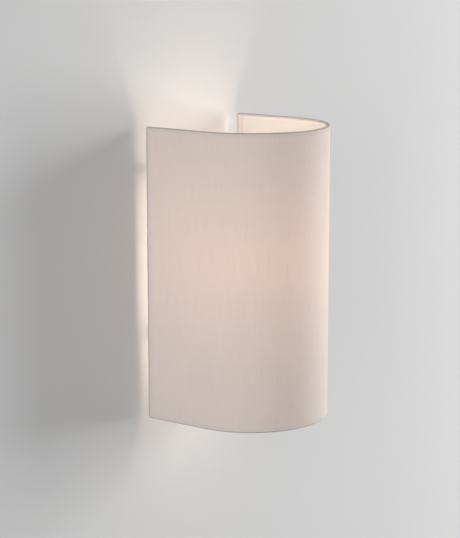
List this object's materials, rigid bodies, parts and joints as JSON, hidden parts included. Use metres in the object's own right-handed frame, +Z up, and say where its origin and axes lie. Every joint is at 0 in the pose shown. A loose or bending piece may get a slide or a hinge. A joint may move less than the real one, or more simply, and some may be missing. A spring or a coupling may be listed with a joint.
{
  "type": "fabric shade wall light",
  "caption": "Tall U-plan fabric half-shade hung close to a wall on a steel plate with hooks, lit by an upright screw-cap lamp inside.",
  "frame": {"origin": "on the wall's surface at the centre of the four fixing slots, level with the middle of the shade", "axes": "+X to the right along the wall seen from the room, +Y into the wall, +Z up"},
  "size_m": [0.16, 0.16, 0.3],
  "materials": {
    "shade_fabric": "plain-weave cotton with slubs, matt",
    "liner_film": "translucent styrene film",
    "frame_wire": "white powder-coated wire",
    "white_steel": "white powder coat, satin",
    "zinc_steel": "zinc plate",
    "buffer_rubber": "soft, pale grey",
    "white_nylon": "moulded, fine grain",
    "brass": "turned",
    "tinned_copper": "tinned",
    "brown_insulation": "silicone",
    "blue_insulation": "silicone",
    "earth_insulation": "silicone, yellow stripe",
    "glass_sleeve": "braided glass fibre",
    "black_phenolic": "moulded phenolic",
    "grey_moulding": "moulded insert",
    "frosted_globe": "opal diffuser",
    "bulb_housing": "moulded",
    "nickel_plate": "nickel-plated",
    "black_glass": "glass insulator",
    "cup_aluminium": "pressed",
    "board_white": "white solder mask",
    "led_phosphor": "phosphor",
    "board_green": "solder mask",
    "capacitor_can": "sleeved can",
    "ferrite": "ferrite"
  },
  "bodies": {
    "wall_unit": {"wall_plate": "white_steel", "hanger_bar": "white_steel", "stand_off_bar": "white_steel", "stand_off_buffers": "buffer_rubber", "bar_rivets": "zinc_steel", "lamp_arm": "white_steel", "arm_rivets": "zinc_steel", "entry_bush": "buffer_rubber", "terminal_block": "white_nylon", "terminal_barrels": "brass", "terminal_screws": "zinc_steel", "block_standoffs": "zinc_steel", "block_screws": "zinc_steel", "earth_stud": "brass", "earth_tag": "tinned_copper", "earth_washer": "zinc_steel", "earth_nut": "brass", "terminal_cover": "white_nylon", "cover_screws": "zinc_steel", "lead_bush": "buffer_rubber", "arm_bush": "buffer_rubber", "live_lead": "brown_insulation", "neutral_lead": "blue_insulation", "earth_lead": "earth_insulation", "lead_sleeve": "glass_sleeve", "nipple": "brass", "nipple_washer": "zinc_steel", "nipple_nut": "zinc_steel", "holder_cap": "black_phenolic", "holder_skirt": "black_phenolic", "holder_insert": "grey_moulding", "thread_shell": "brass", "centre_contact": "brass", "shell_contact": "brass", "holder_posts": "brass", "holder_post_screws": "zinc_steel"},
    "shade": {"shade_fabric": "shade_fabric", "shade_liner": "liner_film", "top_ring": "frame_wire", "bottom_ring": "frame_wire", "left_upright": "frame_wire", "right_upright": "frame_wire", "hanging_bar": "frame_wire", "rest_lugs": "frame_wire"},
    "bulb": {"bulb_globe": "frosted_globe", "bulb_body": "bulb_housing", "bulb_cap": "nickel_plate", "cap_insulator": "black_glass", "cap_contact": "nickel_plate", "heat_cup": "cup_aluminium", "led_board": "board_white", "led_chips": "led_phosphor", "driver_board": "board_green", "driver_capacitor": "capacitor_can", "driver_transformer": "ferrite", "bulb_leads": "tinned_copper"}
  },
  "joints": [
    {"name": "shade_lift", "type": "slide", "parent": "wall_unit", "child": "shade", "axis": [0, 0, 1], "range_m": [0, 0.32]},
    {"name": "bulb_turn", "type": "hinge", "parent": "wall_unit", "child": "bulb", "pos_m": [0, -0.08, -0.02], "axis": [0, 0, 1], "range_deg": [0, 1440]}
  ]
}
